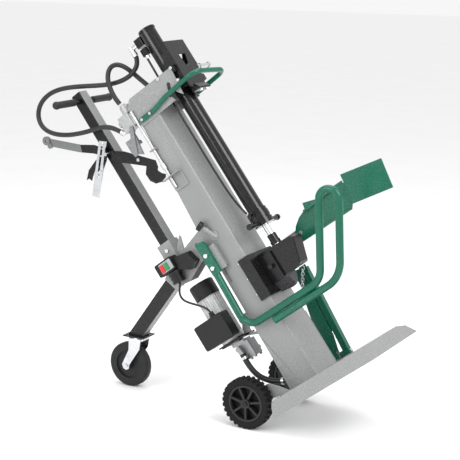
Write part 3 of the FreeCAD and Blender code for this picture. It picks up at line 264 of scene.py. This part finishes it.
MAT = {
    "grey_paint": paint("grey_paint", (0.255, 0.26, 0.26), 0.36, 0.04, 0.015, 0.08, (0.33, 0.33, 0.33), 0.1),
    "green_paint": paint("green_paint", (0.006, 0.105, 0.062), 0.24, 0.08, 0.05, 0.12, (0.03, 0.17, 0.11)),
    "black_paint": paint("black_paint", (0.006, 0.006, 0.0065), 0.27, 0.15, 0.05, 0.05, (0.02, 0.02, 0.021)),
    "black_gloss": paint("black_gloss", (0.004, 0.004, 0.0045), 0.16, 0.15, 0.04, 0.15, (0.018, 0.018, 0.019)),
    "blade_paint": paint("blade_paint", (0.040, 0.041, 0.043), 0.34, 0.15, 0.05, 0.1, (0.10, 0.10, 0.11)),
    "cast_grey": cast("cast_grey", (0.42, 0.43, 0.43), 0.45, 0.55),
    "link_grey": paint("link_grey", (0.20, 0.205, 0.21), 0.40, 0.1, 0.06, 0.1, (0.35, 0.35, 0.36), 0.3),
    "zinc": metal("zinc", (0.66, 0.67, 0.69), 0.24, 0.12),
    "steel": metal("steel", (0.56, 0.56, 0.57), 0.30, 0.1),
    "chrome": metal("chrome", (0.80, 0.81, 0.82), 0.09, 0.03, (1, 1, 12), bumpy=0.02),
    "motor_grey": cast("motor_grey", (0.70, 0.71, 0.71), 0.38, 0.25),
    "pump_alu": cast("pump_alu", (0.36, 0.365, 0.37), 0.36, 0.7),
    "black_plastic": plastic("black_plastic", (0.007, 0.007, 0.0075), 0.42),
    "rim_plastic": plastic("rim_plastic", (0.016, 0.016, 0.017), 0.40),
    "switch_plastic": plastic("switch_plastic", (0.085, 0.088, 0.09), 0.45),
    "green_plastic": plastic("green_plastic", (0.012, 0.22, 0.06), 0.28, 400, 0.04, 0.4),
    "red_plastic": plastic("red_plastic", (0.62, 0.015, 0.012), 0.28, 400, 0.04, 0.4),
    "hose_rubber": rubber("hose_rubber", (0.007, 0.007, 0.0075), 0.42, 520, 0.14, 0.5, 0.06),
    "grip_rubber": rubber("grip_rubber", (0.010, 0.010, 0.0105), 0.55, 380, 0.2, 0.4, 0.08),
    "caster_rubber": rubber("caster_rubber", (0.010, 0.010, 0.011), 0.55, 300, 0.12, 0.3, 0.06),
    "tyre": rubber("tyre", (0.006, 0.006, 0.0065), 0.60, 260, 0.14, 0.18, 0.03),
}

slot_of = {p["node"]: p["material_slot"] for p in frame["record"]["subparts"]}


def soften(o, width=0.0008, segs=2, angle=32.0, smooth=True):
    me = o.data
    if smooth:
        for p in me.polygons:
            p.use_smooth = True
        bm = bmesh.new()
        bm.from_mesh(me)
        bm.free()
    bv = o.modifiers.new("edge", "BEVEL")
    bv.width = width
    bv.segments = segs
    bv.limit_method = "ANGLE"
    bv.angle_limit = math.radians(angle)
    bv.harden_normals = True
    bv.use_clamp_overlap = True
    return bv


THIN = {"lifter_chain", "pivot_bolts", "hose_clamps", "guide_bolts"}
MAT["stroke_steel"] = metal("stroke_steel", (0.50, 0.50, 0.51), 0.34, 0.06, bumpy=0.02)
MAT["bezel_grey"] = plastic("bezel_grey", (0.36, 0.365, 0.37), 0.35, 700.0, 0.08)
LOOK = {"steel_pipe": "black_gloss", "main_axle": "black_plastic", "filler_neck": "grey_paint", "stroke_rod": "stroke_steel",
        "rod_nut": "black_gloss", "switch_housing": "black_plastic"}
for name, o in NODES.items():
    o.data.materials.clear()
    o.data.materials.append(MAT[LOOK.get(name, slot_of[name])])
    for p in o.data.polygons:
        p.use_smooth = True
        p.material_index = 0
    w = 0.0009
    if name in THIN:
        w = 0.0004
    if name in ("base_plate", "column", "head_plate", "cylinder_bracket"):
        w = 0.0012
    soften(o, w)


def machine_dir(x, y, z):
    return Vector((x * CT - z * ST, y, x * ST + z * CT))


def second_paint(node, mat, test):
    """Faces of a node that pass the test (centre in machine millimetres, normal) take a second paint."""
    o = NODES[node]
    o.data.materials.append(mat)
    k = len(o.data.materials) - 1
    mw = o.matrix_world
    rot = mw.to_3x3()
    fx, fz = machine_dir(1, 0, 0), machine_dir(0, 0, 1)
    for p in o.data.polygons:
        c = mw @ p.center - AXLE
        nr = (rot @ p.normal).normalized()
        cm = Vector((AX + 1000 * c.dot(fx), 1000 * c.y, AZ + 1000 * c.dot(fz)))
        nm = Vector((nr.dot(fx), nr.y, nr.dot(fz)))
        if test(cm, nm):
            p.material_index = k


# the towing handle and the strut are black on their sides and light grey on the face towards the column
second_paint("handle_tube", MAT["grey_paint"], lambda c, n: n.x > 0.8 and c.x > -136 and abs(c.y) < 27.5 and c.z < 1500)
second_paint("strut_tube", MAT["grey_paint"], lambda c, n: n.x * 0.30 - n.z * 0.954 > 0.8 and c.z > 600)
# the flange between motor and pump is black
second_paint("motor_body", MAT["black_paint"], lambda c, n: c.z < 353)
second_paint("motor_bracket", MAT["black_paint"], lambda c, n: c.z < 347 and c.x < -40)
# the collar above the gland is black
second_paint("hose_fittings", MAT["black_gloss"], lambda c, n: c.z < 760)
# grey surround of the two push buttons
second_paint("switch_housing", MAT["bezel_grey"], lambda c, n: c.y < -84.3)


def two_tone(node, first, second, point, direction):
    """A material that turns from one paint to another across a plane of the piece."""
    o = NODES[node]
    m = MAT[first].copy()
    m.name = node + "_two_tone"
    nt = m.node_tree
    b = nt.nodes["Principled BSDF"]
    inv = o.matrix_world.inverted()
    pt = inv @ M(*point)
    dr = (inv.to_3x3() @ machine_dir(*direction)).normalized()
    tc = nt.nodes.new("ShaderNodeTexCoord")
    dp = nt.nodes.new("ShaderNodeVectorMath")
    dp.operation = "DOT_PRODUCT"
    nt.links.new(tc.outputs["Object"], dp.inputs[0])
    dp.inputs[1].default_value = dr
    mr = maprange(nt, dp.outputs["Value"], pt.dot(dr) - 0.001, pt.dot(dr) + 0.001, 0.0, 1.0)
    mx = nt.nodes.new("ShaderNodeMix")
    mx.data_type = "RGBA"
    old = b.inputs["Base Color"].links[0].from_socket
    nt.links.new(mr.outputs[0], mx.inputs[0])
    nt.links.new(old, mx.inputs[6])
    mx.inputs[7].default_value = (*second, 1)
    nt.links.new(mx.outputs[2], b.inputs["Base Color"])
    o.data.materials[0] = m


two_tone("lever_bar", "black_paint", (0.17, 0.175, 0.175), (-256, -40, 1390), (-1, 0, 0.35))

# ---- cords -----------------------------------------------------------------
HOSE_LONG = [(178, -2, 1538), (172, -7, 1513), (148, -13, 1495), (108, -18, 1487), (62, -22, 1495), (15, -26, 1513), (-35, -34, 1541),
             (-88, -42, 1574), (-145, -49, 1607), (-200, -53, 1632), (-255, -56, 1644), (-308, -59, 1637), (-347, -62, 1610), (-364, -64, 1570),
             (-354, -66, 1526), (-318, -67, 1484), (-268, -67, 1449), (-215, -66, 1423), (-166, -64, 1404), (-122, -61, 1391), (-84, -58, 1372), (-57, -56, 1346), (-37, -56, 1315)]
HOSE_SHORT = [(23, -52, 1414), (21, -55, 1438), (23, -58, 1464), (29, -60, 1495), (40, -59, 1526), (60, -54, 1552), (82, -44, 1562), (102, -30, 1554),
              (113, -12, 1532), (118, 6, 1501), (126, 15, 1465), (139, 21, 1423), (146, 24, 1396)]
SUCTION = [(-95, -48, 282), (-95, -49, 254), (-95, -48, 224), (-91, -46, 196), (-82, -43, 169), (-66, -38, 146), (-45, -33, 126), (-21, -29, 111), (4, -26, 100)]
LEAD = [(-166, -63, 665), (-178, -65, 650), (-190, -68, 634), (-193, -73, 615), (-186, -79, 596), (-170, -83, 578), (-150, -86, 560), (-129, -88, 542), (-110, -89, 523), (-98, -90, 505), (-95, -90, 492)]


def hose(name, node, pts, dia, mat):
    cu = bpy.data.curves.new(name, "CURVE")
    cu.dimensions = "3D"
    sp = cu.splines.new("NURBS")
    sp.points.add(len(pts) - 1)
    for p, q in zip(sp.points, pts):
        p.co = (*M(*q), 1.0)
    sp.order_u = 3
    sp.use_endpoint_u = True
    sp.resolution_u = 12
    cu.bevel_depth = dia / 2
    cu.bevel_resolution = 6
    cu.use_fill_caps = True
    o = bpy.data.objects.new(name, cu)
    scene.collection.objects.link(o)
    cu.materials.append(mat)
    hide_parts(node)
    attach(o, "machine")
    return o


hose("long_hose", "hose_long", HOSE_LONG, 0.020, MAT["hose_rubber"])
hose("short_hose", "hose_short", HOSE_SHORT, 0.020, MAT["hose_rubber"])
hose("suction_line", "suction_hose", SUCTION, 0.024, MAT["hose_rubber"])
hose("switch_lead", "switch_cable", LEAD, 0.009, MAT["hose_rubber"])

# ---- main tyres with a lug tread --------------------------------------------
def mesh_obj(name, verts, faces, mat, smooth=True):
    me = bpy.data.meshes.new(name)
    me.from_pydata(verts, [], faces)
    me.update()
    me.materials.append(mat)
    for p in me.polygons:
        p.use_smooth = smooth
    o = bpy.data.objects.new(name, me)
    scene.collection.objects.link(o)
    return o


def tyre(name, node, side, body):
    lo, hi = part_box(node)
    cx, cz = (lo[0] + hi[0]) / 2, (lo[2] + hi[2]) / 2
    y0, y1 = lo[1], hi[1]
    R = (hi[0] - lo[0]) / 2
    W = y1 - y0
    ym = (y0 + y1) / 2
    n = 28 * 12
    lugs = 28
    rows = []
    # profile across the tyre: (fraction of width from the middle, radius below the tread, tread share)
    prof = [(-0.44, R - 0.074, 0), (-0.47, R - 0.074 + 0.036 - 0.036, 0)]
    half = [(0.40, 0.0742, 0.0), (0.455, 0.078, 0.0), (0.475, 0.086, 0.0), (0.472, 0.0875, 0.0), (0.488, 0.089, 0.0), (0.5, 0.0955, 0.0),
            (0.5, 0.1005, 0.55), (0.485, 0.1040, 0.9), (0.45, 0.1068, 1.0), (0.40, 0.1076, 1.0), (0.30, 0.1080, 1.0), (0.20, 0.1080, 1.0), (0.10, 0.1080, 1.0), (0.035, 0.1080, 1.0)]
    line = [(-a, b, c) for a, b, c in half] + [(a, b, c) for a, b, c in reversed(half)]
    q_ = (R - 0.0742) / (0.110 - 0.0742)
    line = [(a, 0.0742 + (b - 0.0742) * q_, c) for a, b, c in line]
    k = 0.002 * q_
    verts, faces = [], []
    m = len(line)
    for i in range(n):
        ph = 2 * math.pi * i / n
        for j, (a, b, c) in enumerate(line):
            lug = 0.0
            if c > 0:
                off = 0.5 if a > 0 else 0.0
                t = ((i / n) * lugs + off + abs(a) * 0.55) % 1.0
                on_ = 1.0 if 0.06 < t < 0.60 else 0.0
                if abs(a) < 0.05:
                    on_ = 1.0 if (((i / n) * lugs * 2) % 1.0) < 0.72 else 0.0
                lug = on_ * c
            rad = b - (0.0045 if c > 0 else 0.0) * c + (0.0045 + k) * lug
            if c > 0 and lug == 0:
                rad = b - 0.0045 * c
            verts.append((cx + math.sin(ph) * rad, ym + a * W, cz + math.cos(ph) * rad))
    for i in range(n):
        for j in range(m - 1):
            p = i * m + j
            q = ((i + 1) % n) * m + j
            faces.append((p, p + 1, q + 1, q))
        # inner seat, closing the ring against the rim
        p, q = i * m + m - 1, ((i + 1) % n) * m + m - 1
        faces.append((p, i * m, ((i + 1) % n) * m, q))
    o = mesh_obj(name, verts, faces, MAT["tyre"])
    bm = bmesh.new()
    bm.from_mesh(o.data)
    bmesh.ops.recalc_face_normals(bm, faces=bm.faces)
    bm.to_mesh(o.data)
    bm.free()
    bv = soften(o, 0.0005, 1, 28)
    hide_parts(node)
    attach(o, body)
    return o


tyre("near_tread", "near_tyre", -1, "near_wheel")
tyre("far_tread", "far_tyre", 1, "far_wheel")

# ---- floor, light ------------------------------------------------------------
fm, nt, b = new_mat("floor")
v = coords(nt)
nn = noise(nt, 3.0, 2.0, 0.5, v)
cr = ramp(nt, nn.outputs["Fac"], (0.93, 0.93, 0.93), (0.95, 0.95, 0.95))
nt.links.new(cr.outputs["Color"], b.inputs["Base Color"])
b.inputs["Roughness"].default_value = 0.8
fl = mesh_obj("floor_sheet", [(-30, -30, 0), (30, -30, 0), (30, 30, 0), (-30, 30, 0)], [(0, 1, 2, 3)], fm, False)

w = bpy.data.worlds.new("studio")
scene.world = w
w.use_nodes = True
bg = w.node_tree.nodes["Background"]
bg.inputs["Color"].default_value = (1, 1, 1, 1)
bg.inputs["Strength"].default_value = 0.93


def area(name, loc, target, size, power, size_y=None):
    ld = bpy.data.lights.new(name, "AREA")
    ld.energy = power
    ld.shape = "RECTANGLE"
    ld.size = size
    ld.size_y = size_y or size
    o = bpy.data.objects.new(name, ld)
    scene.collection.objects.link(o)
    o.location = loc
    o.rotation_mode = "QUATERNION"
    o.rotation_quaternion = (Vector(target) - Vector(loc)).to_track_quat("-Z", "Y")
    return o


mid = Vector(((cad_lo[0] + cad_hi[0]) / 2, (cad_lo[1] + cad_hi[1]) / 2, 0.75))
area("key", (mid.x + 3.2, mid.y - 1.2, 3.6), mid, 2.2, 105)
area("top", (mid.x - 0.6, mid.y + 0.4, 4.2), mid, 3.0, 60)
area("side", (mid.x - 1.2, mid.y - 3.8, 2.3), mid, 1.8, 55)

scene.view_settings.view_transform = "Standard"
scene.view_settings.look = "None"
scene.view_settings.exposure = 0.0
